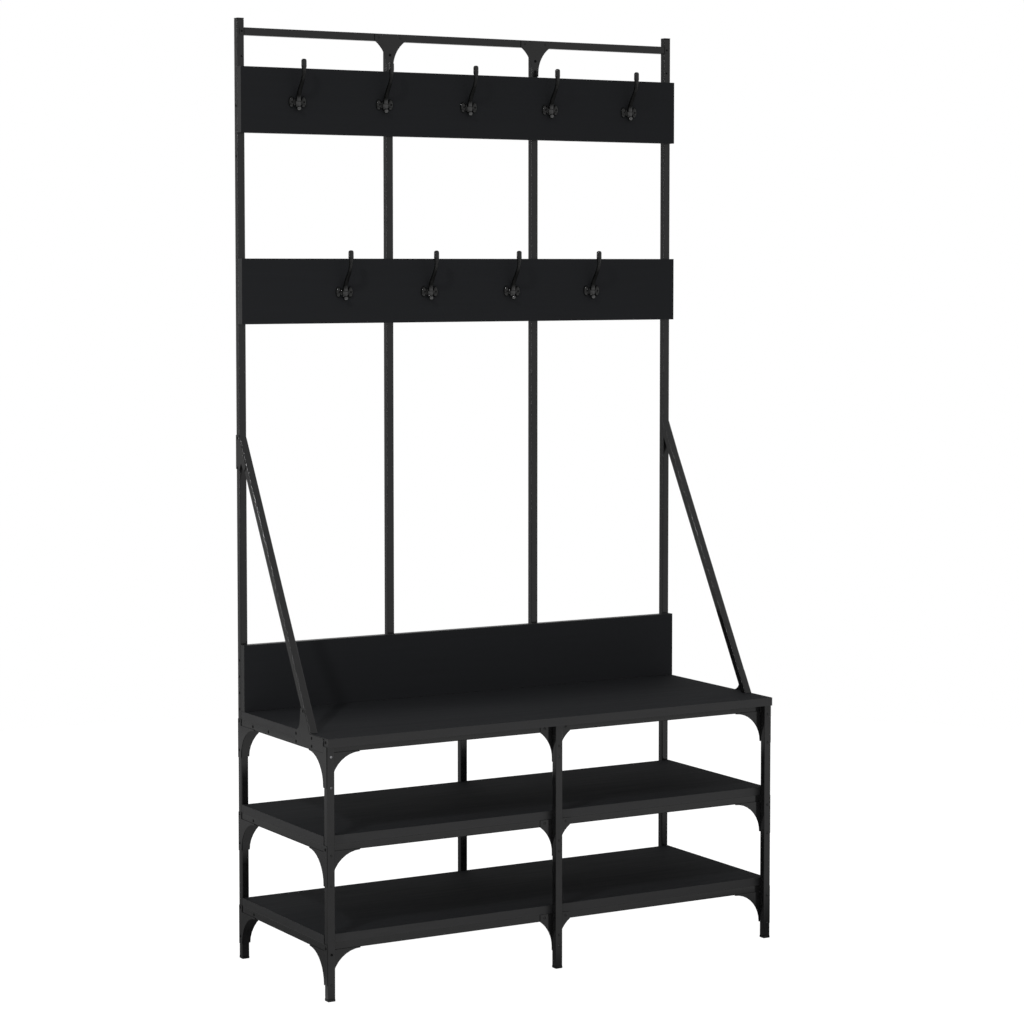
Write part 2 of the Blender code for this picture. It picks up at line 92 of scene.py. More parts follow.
FLOOR_RADIUS = 3.0
FLOOR_SINK = 0.0004                    # it lies this far below the feet
FLOOR_GLOW = (0.12, 0.5)               # its brightness under the object and at its rim
FLOOR_UNDER = 0.8                      # radius of the part under the object
FLOOR_WAY = (-0.25, -0.97, 0.0)        # it is brighter in front of the object
FLOOR_FRONT_GLOW = 0.78                # by this much
FLOOR_FRONT = (0.15, 0.4)              # from the first to the second distance along FLOOR_WAY

KEY_PLACE, KEY_TARGET = (-2.84, -1.65, 3.55), (-0.25, 0.03, 0.55)
KEY_SIZE, KEY_POWER = 0.24, 3.2
KEY_SPREAD = radians(40)               # it is turned on the seat, and reaches the hook boards less
STRIP_PLACE, STRIP_TARGET = (-3.6, 1.25, 1.55), (0, 0.1, 1.2)
STRIP_WIDTH, STRIP_HEIGHT, STRIP_POWER = 0.25, 2.0, 40
REAR_PLACE, REAR_TARGET = (0.5, 3.2, 3.0), (0, 0, 0.9)
REAR_WIDTH, REAR_HEIGHT, REAR_POWER = 2.0, 1.2, 15


def add_camera():
    """Seen from the front left, from about the height of the lower hook board's upper edge."""
    data = bpy.data.cameras.new("camera")
    data.sensor_width = 36.0
    data.lens = CAMERA_LENS
    data.shift_y = CAMERA_SHIFT
    camera = bpy.data.objects.new("camera", data)
    camera.location = CAMERA_PLACE
    camera.rotation_euler = (radians(90 - CAMERA_TILT), 0, radians(-CAMERA_TURN))
    bpy.context.scene.collection.objects.link(camera)
    bpy.context.scene.camera = camera


def add_area(name, place, target, width, height, power):
    """Rectangular softbox at place, turned towards target."""
    data = bpy.data.lights.new(name, "AREA")
    data.shape = "RECTANGLE"
    data.size, data.size_y = width, height
    data.energy = power
    light = bpy.data.objects.new(name, data)
    light.location = place
    light.rotation_euler = (Vector(target) - Vector(place)).to_track_quat("-Z", "Y").to_euler()
    bpy.context.scene.collection.objects.link(light)
    return light


def white_for_camera(nodes, links, lit, target):
    """White where the camera looks straight at it, and the given strength as light and reflection."""
    rays = nodes.new("ShaderNodeLightPath")
    pick = nodes.new("ShaderNodeMix")
    pick.inputs["B"].default_value = 1.0
    links.new(rays.outputs["Is Camera Ray"], pick.inputs["Factor"])
    links.new(lit, pick.inputs["A"])
    links.new(pick.outputs["Result"], target)


def map_range(nodes, links, source, from_range, to_range):
    """Socket with source carried from one range to another, and held at its ends."""
    spread = nodes.new("ShaderNodeMapRange")
    for name, value in zip(("From Min", "From Max", "To Min", "To Max"), (*from_range, *to_range)):
        spread.inputs[name].default_value = value
    links.new(source, spread.inputs["Value"])
    return spread.outputs["Result"]


def combine_values(nodes, links, operation, first, second):
    """Socket with the sum or product of two values."""
    result = nodes.new("ShaderNodeMath")
    result.operation = operation
    links.new(first, result.inputs[0])
    links.new(second, result.inputs[1])
    return result.outputs["Value"]


def along_way(nodes, links, place, way):
    """Socket with how far a place or direction reaches along way, a vector of length 1."""
    result = nodes.new("ShaderNodeVectorMath")
    result.operation = "DOT_PRODUCT"
    result.inputs[1].default_value = way
    links.new(place, result.inputs[0])
    return result.outputs["Value"]


def add_studio():
    """White room, brighter in front on the right and dimmer overhead and below the horizon.

    A narrow softbox high on the left is turned on the seat, a strip lights the left side, and a softbox
    the back.
    """
    scene = bpy.context.scene
    scene.view_settings.view_transform = "Standard"
    world = bpy.data.worlds.new("studio")
    world.use_nodes = True
    nodes, links = world.node_tree.nodes, world.node_tree.links
    way = nodes.new("ShaderNodeTexCoord")
    facing = along_way(nodes, links, way.outputs["Generated"], ROOM_WAY)
    lit = map_range(nodes, links, facing, (-1.0, 1.0), (ROOM_BACK, ROOM_FRONT))
    parts = nodes.new("ShaderNodeSeparateXYZ")
    links.new(way.outputs["Generated"], parts.inputs[0])
    below = map_range(nodes, links, parts.outputs["Z"], BELOW_HEIGHTS, (ROOM_BELOW, 1.0))
    above = map_range(nodes, links, parts.outputs["Z"], ZENITH_HEIGHTS, (1.0, ROOM_ZENITH))
    for factor in (below, above):
        lit = combine_values(nodes, links, "MULTIPLY", lit, factor)
    white_for_camera(nodes, links, lit, nodes["Background"].inputs["Strength"])
    nodes["Background"].inputs["Color"].default_value = (1.0, 1.0, 1.0, 1.0)
    scene.world = world
    key = add_area("key_softbox", KEY_PLACE, KEY_TARGET, KEY_SIZE, KEY_SIZE, KEY_POWER)
    key.data.spread = KEY_SPREAD
    add_area("side_strip", STRIP_PLACE, STRIP_TARGET, STRIP_WIDTH, STRIP_HEIGHT, STRIP_POWER)
    add_area("rear_softbox", REAR_PLACE, REAR_TARGET, REAR_WIDTH, REAR_HEIGHT, REAR_POWER)


def add_floor():
    """Small white floor, which lights the object less from underneath than from in front."""
    bm = bmesh.new()
    bmesh.ops.create_circle(bm, cap_ends=True, segments=96, radius=FLOOR_RADIUS)
    mesh = bpy.data.meshes.new("floor")
    bm.to_mesh(mesh)
    bm.free()
    item = bpy.data.objects.new("floor", mesh)
    item.location.z = FLOOR - FLOOR_SINK
    bpy.context.scene.collection.objects.link(item)
    paint, nodes, links, shader = new_material("pale_floor", (0.12, 0.12, 0.12), 0.9, specular=0.0)
    shader.inputs["Emission Color"].default_value = (1.0, 1.0, 1.0, 1.0)
    place = nodes.new("ShaderNodeTexCoord")
    distance = nodes.new("ShaderNodeVectorMath")
    distance.operation = "LENGTH"
    links.new(place.outputs["Object"], distance.inputs[0])
    under = map_range(nodes, links, distance.outputs["Value"], (FLOOR_UNDER, FLOOR_RADIUS), FLOOR_GLOW)
    facing = along_way(nodes, links, place.outputs["Object"], FLOOR_WAY)
    ahead = map_range(nodes, links, facing, FLOOR_FRONT, (0.0, FLOOR_FRONT_GLOW))
    lit = combine_values(nodes, links, "ADD", under, ahead)
    white_for_camera(nodes, links, lit, shader.inputs["Emission Strength"])
    mesh.materials.append(paint)


# ---------------------------------------------------------------- materials
NOISE_RANGE = (0.3, 0.7)               # most of a noise's values lie between these
GRAIN_STRETCH = (0.04, 1.0, 1.0)       # the boards' grain runs along X
BAND_STRETCH = (0.15, 0.15, 1.0)
ARM_PAINTED_SHEEN = ((0.006, 0.014), (0.55, 0.06))     # heights on a hook, and the painted sheen there: strong specular at the boss, the arm above it dulled as painted shade
NOSE_PAINTED_HIGHLIGHT = ((-0.014, -0.007), (0.50, 0.0))   # added towards the nose as a painted highlight
TIP_PAINTED_SHEEN = ((0.040, 0.062), (0.0, 0.26))      # and towards the tip as a painted sheen
EAR_PAINTED_SHEEN = ((0.0065, 0.0095), (1.0, 0.55))    # all of this painted sheen is less this far from the middle, on the ears


def new_material(name, colour, roughness, specular):
    """Principled material with its nodes, links and shader."""
    material = bpy.data.materials.new(name)
    material.use_nodes = True
    tree = material.node_tree
    shader = tree.nodes["Principled BSDF"]
    shader.inputs["Base Color"].default_value = (*colour, 1.0)
    shader.inputs["Roughness"].default_value = roughness
    shader.inputs["Specular IOR Level"].default_value = specular
    return material, tree.nodes, tree.links, shader


def add_noise(nodes, links, scale, detail=3.0, stretch=(1, 1, 1)):
    """Noise in the frame's metres, stretched along the axes."""
    place = nodes.new("ShaderNodeTexCoord")
    mapping = nodes.new("ShaderNodeMapping")
    mapping.inputs["Scale"].default_value = stretch
    noise = nodes.new("ShaderNodeTexNoise")
    noise.inputs["Scale"].default_value = scale
    noise.inputs["Detail"].default_value = detail
    links.new(place.outputs["Object"], mapping.inputs["Vector"])
    links.new(mapping.outputs["Vector"], noise.inputs["Vector"])
    return noise


def vary_colour(nodes, links, shader, noise, dark, light):
    """Base colour between dark and light."""
    ramp = nodes.new("ShaderNodeValToRGB")
    for element, position, colour in zip(ramp.color_ramp.elements, NOISE_RANGE, (dark, light)):
        element.position = position
        element.color = (*colour, 1.0)
    links.new(noise.outputs["Fac"], ramp.inputs["Fac"])
    links.new(ramp.outputs["Color"], shader.inputs["Base Color"])


def vary_roughness(nodes, links, shader, noise, low, high):
    """Roughness between low and high."""
    rough = map_range(nodes, links, noise.outputs["Fac"], NOISE_RANGE, (low, high))
    links.new(rough, shader.inputs["Roughness"])


def add_bump(nodes, links, shader, noise, height):
    """Relief of the given height in metres."""
    bump = nodes.new("ShaderNodeBump")
    bump.inputs["Distance"].default_value = height
    bump.inputs["Strength"].default_value = 1.0
    links.new(noise.outputs["Fac"], bump.inputs["Height"])
    links.new(bump.outputs["Normal"], shader.inputs["Normal"])


def paint_material():
    """Black powder coat: semi-gloss, with a fine orange peel."""
    material, nodes, links, shader = new_material(
        "black_powder_coat", (0.006, 0.006, 0.006), 0.15, specular=0.28)
    cloud = add_noise(nodes, links, 60.0)
    vary_colour(nodes, links, shader, cloud, (0.005, 0.005, 0.0052), (0.007, 0.007, 0.0072))
    vary_roughness(nodes, links, shader, cloud, 0.11, 0.18)
    add_bump(nodes, links, shader, add_noise(nodes, links, 700.0, detail=2.0), 0.00002)
    return material


def laminate_material():
    """Matte black foil with a faint pressed wood grain."""
    material, nodes, links, shader = new_material(
        "laminate_flat", (0.012, 0.0125, 0.013), 0.8, specular=0.038)
    grain = add_noise(nodes, links, 160.0, detail=6.0, stretch=GRAIN_STRETCH)
    vary_colour(nodes, links, shader, grain, (0.0121, 0.0126, 0.0137), (0.0132, 0.0138, 0.0151))
    vary_roughness(nodes, links, shader, grain, 0.74, 0.86)
    add_bump(nodes, links, shader, grain, 0.00004)
    return material


def band_material():
    """Edge band of the boards, smoother than their faces."""
    material, nodes, links, shader = new_material("edge_band", (0.010, 0.010, 0.0105), 0.4, specular=0.26)
    cloud = add_noise(nodes, links, 120.0, stretch=BAND_STRETCH)
    vary_colour(nodes, links, shader, cloud, (0.009, 0.009, 0.0095), (0.012, 0.012, 0.0125))
    vary_roughness(nodes, links, shader, cloud, 0.34, 0.46)
    add_bump(nodes, links, shader, cloud, 0.00003)
    return material


def enamel_material():
    """Glossy black enamel over a slightly uneven casting, its specular painted by height and side: painted
    shade dulls the arm, painted highlights sit on the nose and tip.
    """
    material, nodes, links, shader = new_material("hook_enamel", (0.003, 0.003, 0.003), 0.12, specular=0.3)
    cloud = add_noise(nodes, links, 180.0)
    vary_colour(nodes, links, shader, cloud, (0.002, 0.002, 0.002), (0.005, 0.005, 0.005))
    vary_roughness(nodes, links, shader, cloud, 0.10, 0.20)
    # Specular level by height and side: painted sheen and painted shade, not the enamel's own gloss.
    place = nodes.new("ShaderNodeTexCoord")
    parts = nodes.new("ShaderNodeSeparateXYZ")
    links.new(place.outputs["Object"], parts.inputs[0])
    painted_sheen = map_range(nodes, links, parts.outputs["Z"], *ARM_PAINTED_SHEEN)
    for heights, amounts in (NOSE_PAINTED_HIGHLIGHT, TIP_PAINTED_SHEEN):
        more = map_range(nodes, links, parts.outputs["Z"], heights, amounts)
        painted_sheen = combine_values(nodes, links, "ADD", painted_sheen, more)
    aside = nodes.new("ShaderNodeMath")
    aside.operation = "ABSOLUTE"
    links.new(parts.outputs["X"], aside.inputs[0])
    less = map_range(nodes, links, aside.outputs["Value"], *EAR_PAINTED_SHEEN)
    painted_sheen = combine_values(nodes, links, "MULTIPLY", painted_sheen, less)
    links.new(painted_sheen, shader.inputs["Specular IOR Level"])
    add_bump(nodes, links, shader, cloud, 0.00010)
    return material


def plastic_material():
    """Moulded feet and caps, matt and slightly grainy."""
    material, nodes, links, shader = new_material(
        "moulded_plastic", (0.005, 0.005, 0.005), 0.5, specular=0.2)
    grit = add_noise(nodes, links, 1500.0, detail=2.0)
    vary_colour(nodes, links, shader, grit, (0.004, 0.004, 0.004), (0.006, 0.006, 0.006))
    vary_roughness(nodes, links, shader, grit, 0.42, 0.58)
    add_bump(nodes, links, shader, grit, 0.00005)
    return material


def screw_material(name, colour, metallic, low, high, specular=0.5):
    """Screw with a roughness between low and high."""
    material, nodes, links, shader = new_material(name, colour, (low + high) / 2, specular=specular)
    shader.inputs["Metallic"].default_value = metallic
    cloud = add_noise(nodes, links, 900.0)
    vary_colour(nodes, links, shader, cloud, tuple(c * 0.8 for c in colour), tuple(c * 1.2 for c in colour))
    vary_roughness(nodes, links, shader, cloud, low, high)
    return material


# ---------------------------------------------------------------- mesh helpers
def weigh_normals(item):
    """Large faces look flat, and their narrow rounded edges take up the turn."""
    change = item.modifiers.new("weighted", "WEIGHTED_NORMAL")
    change.keep_sharp = True


def to_object(bm, name, materials, smooth_angle=40.0, weighted=True):
    """Piece that rides on the body, from a mesh that is used up."""
    mesh = bpy.data.meshes.new(name)
    bm.to_mesh(mesh)
    bm.free()
    item = bpy.data.objects.new(name, mesh)
    bpy.context.scene.collection.objects.link(item)
    for material in materials:
        mesh.materials.append(material)
    mesh.shade_smooth()
    mesh.set_sharp_from_angle(angle=radians(smooth_angle))
    if weighted:
        weigh_normals(item)
    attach(item, BODY)
    return item


def finished_copy(node, name, material, round_edge):
    """The frame's own shape with welded facets, softly rounded edges and the real surface."""
    bm = bmesh.new()
    bm.from_mesh(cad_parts[node].data)
    bmesh.ops.remove_doubles(bm, verts=bm.verts, dist=0.000002)
    bmesh.ops.dissolve_limit(bm, angle_limit=radians(1.0), verts=bm.verts, edges=bm.edges)
    item = to_object(bm, name, [material], weighted=False)
    bevel = item.modifiers.new("edges", "BEVEL")
    bevel.width = round_edge
    bevel.segments = 2
    bevel.limit_method = "ANGLE"
    bevel.angle_limit = radians(50)
    weigh_normals(item)
    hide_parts(node)


def add_ring(bm, place, axis_x, axis_y, half_x, half_y, sides):
    """Oval of vertices round place."""
    ring = []
    for i in range(sides):
        angle = 2 * pi * i / sides
        ring.append(bm.verts.new(place + axis_x * (cos(angle) * half_x) + axis_y * (sin(angle) * half_y)))
    return ring


def join_rings(bm, rings):
    """Skin from each ring to the next."""
    for lower, upper in zip(rings, rings[1:]):
        count = len(lower)
        for i in range(count):
            bm.faces.new((lower[i], lower[(i + 1) % count], upper[(i + 1) % count], upper[i]))


def add_box(bm, low, high, bevel, index=0):
    """Box with rounded edges and the material of the given index, added to a mesh."""
    made = bmesh.ops.create_cube(bm, size=1.0)["verts"]
    middle, size = (low + high) / 2, high - low
    for vert in made:
        vert.co = Vector([vert.co[i] * size[i] + middle[i] for i in range(3)])
    edges = {edge for vert in made for edge in vert.link_edges}
    faces = {face for vert in made for face in vert.link_faces}
    for face in faces:
        face.material_index = index
    bmesh.ops.bevel(
        bm, geom=list(edges), offset=bevel, segments=2, profile=0.5, affect="EDGES", material=index)


# ---------------------------------------------------------------- boards
BAND = 0.0004            # thickness of the edge band
BAND_LIP = 0.0013        # a lying board's band hangs over the rail's rounded corner by this much
BAND_EDGE = 0.00015      # rounding of the core's and the strips' edges


def add_board(node, faces_up, laminate, band):
    """Board core with an edge band glued round its four narrow sides."""
    low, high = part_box(node)
    thick = 2 if faces_up else 1
    long, wide = 0, 1 if faces_up else 2
    inset = Vector((BAND, BAND, BAND))
    inset[thick] = 0.0
    bm = bmesh.new()
    add_box(bm, low + inset, high - inset, BAND_EDGE)
    for axis, other in ((wide, long), (long, wide)):
        for at_high in (False, True):
            strip_low, strip_high = low.copy(), high.copy()
            if faces_up:
                strip_low.z -= BAND_LIP
            if at_high:
                strip_low[axis] = high[axis] - BAND
            else:
                strip_high[axis] = low[axis] + BAND
            if axis == long:
                strip_low[other] += BAND
                strip_high[other] -= BAND
            add_box(bm, strip_low, strip_high, BAND_EDGE, index=1)
    item = to_object(bm, node + "_laminated", [laminate, band], smooth_angle=60)
    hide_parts(node)


def add_boards():
    """All boards; those that are thinner in height than in depth lie."""
    flat = laminate_material()
    band = band_material()
    for node in BOARDS:
        low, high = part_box(node)
        add_board(node, high.z - low.z < high.y - low.y, flat, band)


# ---------------------------------------------------------------- screws
SCREW_SIDES = 24
SCREW_PROFILE = ((1.0, 0.0), (1.0, 0.30), (0.96, 0.50), (0.86, 0.72), (0.70, 0.87), (0.52, 0.95))
RECESS, RECESS_ARMS = 0.16, 0.34       # cross recess: reach between its arms, and what these add
RECESS_SHRINK = 0.72                   # its floor is this much smaller
RECESS_TOP, RECESS_FLOOR = 0.97, 0.40  # in parts of the head's height

# radius and height of the heads, by where they are
REAR_HEAD, REAR_RISE = 0.0036, 0.0007
SIDE_HEAD, SIDE_RISE = 0.0031, 0.0006
POST_HEAD, POST_RISE = 0.0026, 0.0008
FRONT_HEAD, FRONT_RISE = 0.0025, 0.0014
TEE_RAIL_HEAD, TEE_POST_HEAD, TEE_RISE = 0.0026, 0.0028, 0.0010
TOP_HEAD, TOP_RISE = 0.0020, 0.0008
EAR_HEAD, EAR_RISE = 0.0022, 0.0009

# places in the tee plates, legs, posts and rails
TEE_TOP = 0.001                        # a tee plate stops this far below the rail's top
TEE_SCREW_X = 0.024                    # its screws in the rail, left and right of the middle
TEE_SCREW_DROPS = (0.027, 0.048)       # and those in the upright, below the rail
FRONT_DROPS = {"upper": 0.0036, "lower": 0.0612}   # screws in a corner leg, below the rail
MIDDLE_DROPS = (0.0256, 0.0469)        # screws in the middle leg
SIDE_DROPS = (-0.0105, 0.047)          # screws over a post's side; the first is beside the rail
SEAT_EDGE_RISE = 0.0078                # the seat's screw over a leg is this far above the rail
SEAT_SIDE_Y = 0.059                    # the seat's side rails have one screw more, at this depth
GUSSET_REACH = 0.0535                  # a rail's screw stands this far in front of the post

# places in the brace plates
BRACE_FOOT_FRONT = 0.0477              # screws in a lower plate, behind its front edge
BRACE_FOOT_REAR = 0.0045               # and in front of its rear edge
BRACE_NECK_Y, BRACE_NECK_Z = 0.0839, 0.0385    # in its neck: behind its front edge, above the seat
BRACE_TOP_INSET = 0.006                # screws in an upper plate, from its ends
BRACE_TOP_REAR = 0.0065                # and from its rear edge

# places of the screws that hold the upright boards
BOARD_INSET = 0.028                    # behind a board, from its upper and lower edge
BACKREST_PITCH, BACKREST_ROWS = 0.032, 4   # in a post's side, beside the backrest
HOOK_BOARD_SCREWS = (0.052, -0.045)    # and near the upper hook board, above its lower edge

# tabs at the top rail's ends
TAB = 0.0010                           # thickness
TAB_SPAN = (0.001, 0.010)              # their ends, outwards from the post's inner face
TAB_INSET = 0.001                      # they stay this far inside the rail's height
TAB_EDGE = 0.0002
TOP_SCREW_RISE = 0.020                 # the screw below a tab, above the upper hook board


def add_screw(bm, place, outward, radius, rise, turn):
    """Pan-head screw with a cross recess, its washer face at place."""
    outward = Vector(outward).normalized()
    side = outward.orthogonal().normalized()
    side = Matrix.Rotation(turn, 3, outward) @ side
    other = outward.cross(side)
    place = Vector(place)
    rings = [add_ring(bm, place + outward * (h * rise), side, other, r * radius, r * radius, SCREW_SIDES)
             for r, h in SCREW_PROFILE]
    join_rings(bm, rings)
    recess_ring, floor_ring = [], []
    for i in range(SCREW_SIDES):
        angle = 2 * pi * i / SCREW_SIDES
        arm = max(abs(cos(angle)), abs(sin(angle))) ** 8
        reach = radius * (RECESS + RECESS_ARMS * arm)
        way = side * cos(angle) + other * sin(angle)
        recess_ring.append(bm.verts.new(place + way * reach + outward * (RECESS_TOP * rise)))
        floor_ring.append(bm.verts.new(place + way * reach * RECESS_SHRINK + outward * (RECESS_FLOOR * rise)))
    join_rings(bm, [rings[-1], recess_ring, floor_ring])
    bm.faces.new(floor_ring)
    bm.faces.new(list(reversed(rings[0])))


def screw_group(name, spots, material, radius, rise):
    """Screws as (place, outward) pairs in one piece."""
    bm = bmesh.new()
    for index, (place, outward) in enumerate(spots):
        add_screw(bm, place, outward, radius=radius, rise=rise, turn=0.4 + 1.1 * index)
    bmesh.ops.recalc_face_normals(bm, faces=bm.faces)
    to_object(bm, name, [material], smooth_angle=35)


def tee_spots(node):
    """Two screws in the rail and two in the upright of a tee plate."""
    low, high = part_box(node)
    x = (low.x + high.x) / 2
    rail_bottom = high.z - (TUBE - TEE_TOP)
    spots = [(x + side * TEE_SCREW_X, rail_bottom + TUBE / 2) for side in (-1, 1)]
    spots += [(x, rail_bottom - drop) for drop in TEE_SCREW_DROPS]
    return [((u, low.y, z), (0, -1, 0)) for u, z in spots]


def front_and_rear_screws(level, rail_bottom, looks):
    """Two screws in each leg and post below a level, and two through the middle leg."""
    middle, rear = [], []
    for sign, label in SIDES:
        x = sign * (SIDE - TUBE / 2)
        for name, drop in FRONT_DROPS.items():
            look = looks.get((level, label, name), looks["painted"])
            spot = ((x, LEG_FRONT, rail_bottom - drop), (0, -1, 0))
            screw_group("screw_front_%s_%s_%s" % (level, label, name), [spot], look, FRONT_HEAD, FRONT_RISE)
            rear.append(((x, POST_REAR, rail_bottom - drop), (0, 1, 0)))
    for drop in MIDDLE_DROPS:
        middle.append(((0, LEG_FRONT, rail_bottom - drop), (0, -1, 0)))
        rear.append(((0, POST_REAR, rail_bottom - drop), (0, 1, 0)))
    screw_group("screws_middle_" + level, middle, looks["painted"], FRONT_HEAD, FRONT_RISE)
    screw_group("screws_rear_" + level, rear, looks["black"], REAR_HEAD, REAR_RISE)


def side_screws(level, rail_bottom, black):
    """Screws through the tabs of the side gussets, and one in the rail beside each gusset's end."""
    for sign, label in SIDES:
        side = sign * SIDE
        face = sign * max(abs(corner.x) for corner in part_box(level + "_" + label + "_rail"))
        rail_middle = rail_bottom + TUBE / 2
        places = [(face, POST_FRONT + TUBE / 2, rail_bottom - drop) for drop in SIDE_DROPS]
        if level == "seat":
            places.append((side, LEG_REAR - TUBE / 2, rail_bottom + TUBE + SEAT_EDGE_RISE))
        else:
            places.append((face, LEG_REAR - TUBE / 2, rail_middle))
        places.append((side, POST_FRONT - GUSSET_REACH, rail_middle))
        if level == "seat":
            places.append((side, SEAT_SIDE_Y, rail_middle))
        spots = [(place, (sign, 0, 0)) for place in places]
        screw_group("screws_side_%s_%s" % (level, label), spots, black, SIDE_HEAD, SIDE_RISE)


def brace_screws(black):
    """Four screws in the foot of a brace's lower plate, one in its neck, two in the upper plate."""
    seat_low, seat_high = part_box("seat_board")
    for sign, label in SIDES:
        low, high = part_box("brace_lower_plate_" + label)
        face = sign * max(abs(low.x), abs(high.x))
        spots = []
        for y in (low.y + BRACE_FOOT_FRONT, high.y - BRACE_FOOT_REAR):
            for z in ((seat_low.z + seat_high.z) / 2, seat_low.z - TUBE / 2):
                spots.append(((face, y, z), (sign, 0, 0)))
        spots.append(((face, low.y + BRACE_NECK_Y, seat_high.z + BRACE_NECK_Z), (sign, 0, 0)))
        low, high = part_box("brace_upper_plate_" + label)
        for z in (high.z - BRACE_TOP_INSET, low.z + BRACE_TOP_INSET):
            spots.append(((face, high.y - BRACE_TOP_REAR, z), (sign, 0, 0)))
        screw_group("screws_brace_" + label, spots, black, SIDE_HEAD, SIDE_RISE)


def board_screws(black):
    """Screws that hold the upright boards: from behind, and through the outer posts' sides."""
    rear = []
    for node in ("backrest_board", "upper_hook_board", "lower_hook_board"):
        low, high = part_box(node)
        for x in (TUBE / 2 - SIDE, -INNER_POST_X, INNER_POST_X, SIDE - TUBE / 2):
            for z in (low.z + BOARD_INSET, high.z - BOARD_INSET):
                rear.append(((x, POST_REAR, z), (0, 1, 0)))
    screw_group("screws_board_backs", rear, black, REAR_HEAD, REAR_RISE)
    post_middle = (POST_FRONT + POST_REAR) / 2
    backrest_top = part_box("backrest_board")[1].z
    upper_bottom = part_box("upper_hook_board")[0].z
    heights = [backrest_top - BACKREST_PITCH * (row + 1) for row in range(BACKREST_ROWS)]
    heights += [upper_bottom + rise for rise in HOOK_BOARD_SCREWS]
    for sign, label in SIDES:
        spots = [((sign * SIDE, post_middle, z), (sign, 0, 0)) for z in heights]
        screw_group("screws_post_" + label, spots, black, POST_HEAD, POST_RISE)


def top_rail_ends(paint, black):
    """Small tab from each end of the top rail over the post's front, its screw, and one below it."""
    low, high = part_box("top_rail")
    board_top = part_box("upper_hook_board")[1].z
    bm = bmesh.new()
    spots = []
    for sign, _ in SIDES:
        left, right = sorted(sign * (SIDE - TUBE + reach) for reach in TAB_SPAN)
        tab_low = Vector((left, POST_FRONT - TAB, low.z + TAB_INSET))
        tab_high = Vector((right, POST_FRONT, high.z - TAB_INSET))
        add_box(bm, tab_low, tab_high, TAB_EDGE)
        x = (left + right) / 2
        spots.append(((x, POST_FRONT - TAB, (low.z + high.z) / 2), (0, -1, 0)))
        spots.append(((x, POST_FRONT, board_top + TOP_SCREW_RISE), (0, -1, 0)))
    to_object(bm, "top_rail_tabs", [paint])
    screw_group("screws_top_rail", spots, black, TOP_HEAD, TOP_RISE)


def add_screws(looks):
    """All screws of the frame; looks says which of those in front aren't painted."""
    black, painted = looks["black"], looks["painted"]
    top_rail_ends(painted, black)
    for _, label in SIDES:
        spots = tee_spots("top_tee_plate_" + label)
        screw_group("screws_top_tee_%s_rail" % label, spots[:2], painted, TEE_RAIL_HEAD, TEE_RISE)
        screw_group("screws_top_tee_%s_post" % label, spots[2:], black, TEE_POST_HEAD, TEE_RISE)
    for level in LEVELS:
        spots = tee_spots(level + "_tee_plate")
        screw_group("screws_tee_" + level, spots[:2], painted, TEE_RAIL_HEAD, TEE_RISE)
        rail_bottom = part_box(level + "_front_rail")[1].z - TUBE
        front_and_rear_screws(level, rail_bottom, looks)
        side_screws(level, rail_bottom, black)
    brace_screws(black)
    board_screws(black)


# ---------------------------------------------------------------- coat hooks
HOOK_TOP = 0.0831        # top of a hook's tip above the middle of its base
HOOK_VOXEL = 0.00055
ARM_PATH = ((-0.0060, 0.002), (-0.0050, 0.030), (-0.0340, 0.036), (-0.0310, 0.069))  # Y and Z of a cubic
ARM_STEPS = 18
ARM_WIDTH, ARM_WIDTH_LOSS = 0.0052, 0.0018   # half width at the boss, and what it loses on the way up
ARM_DEPTH, ARM_DEPTH_LOSS = 0.0046, 0.0014
ARM_SWELL = 0.0020       # the arm's last fifth swells into the finger by this much
FINGER = (0.0054, 0.0046)    # half width and half depth of the finger
FINGER_LIFTS = (0.003, 0.006, 0.008, 0.010)  # its straight part, above the arm's end
FINGER_ROUND = 0.0041    # height of its round end
FINGER_ANGLES = (25, 45, 62, 76, 86)
BOSS = ((0, -0.0036, -0.0010), (0.0064, 0.0050, 0.0120))    # middle and half sizes
NOSE = ((0, -0.0078, -0.0118), (0.0050, 0.0048, 0.0050))
BASE = ((0, -0.0006, 0.0), (0.0150, 0.0030, 0.0072))
EAR_X, EAR_Y, EAR_Z = 0.0128, -0.0010, 0.0008
EAR_HALF = (0.0060, 0.0046, 0.0108)
EAR_SCREW_Y = -0.0050    # face of an ear, where its screw sits


def add_ball(bm, centre, half):
    """Ellipsoid with the given half sizes."""
    made = bmesh.ops.create_uvsphere(bm, u_segments=32, v_segments=20, radius=1.0)["verts"]
    for vert in made:
        vert.co = Vector([vert.co[i] * half[i] + centre[i] for i in range(3)])


def add_sweep(bm, stations):
    """Closed skin through (place, tangent, half width, half depth) stations that bend in the YZ plane."""
    across = Vector((1, 0, 0))
    rings = []
    for place, tangent, half_x, half_n in stations:
        rings.append(add_ring(bm, place, across, tangent.normalized().cross(across), half_x, half_n, 20))
    join_rings(bm, rings)
    bm.faces.new(list(reversed(rings[0])))
    bm.faces.new(rings[-1])


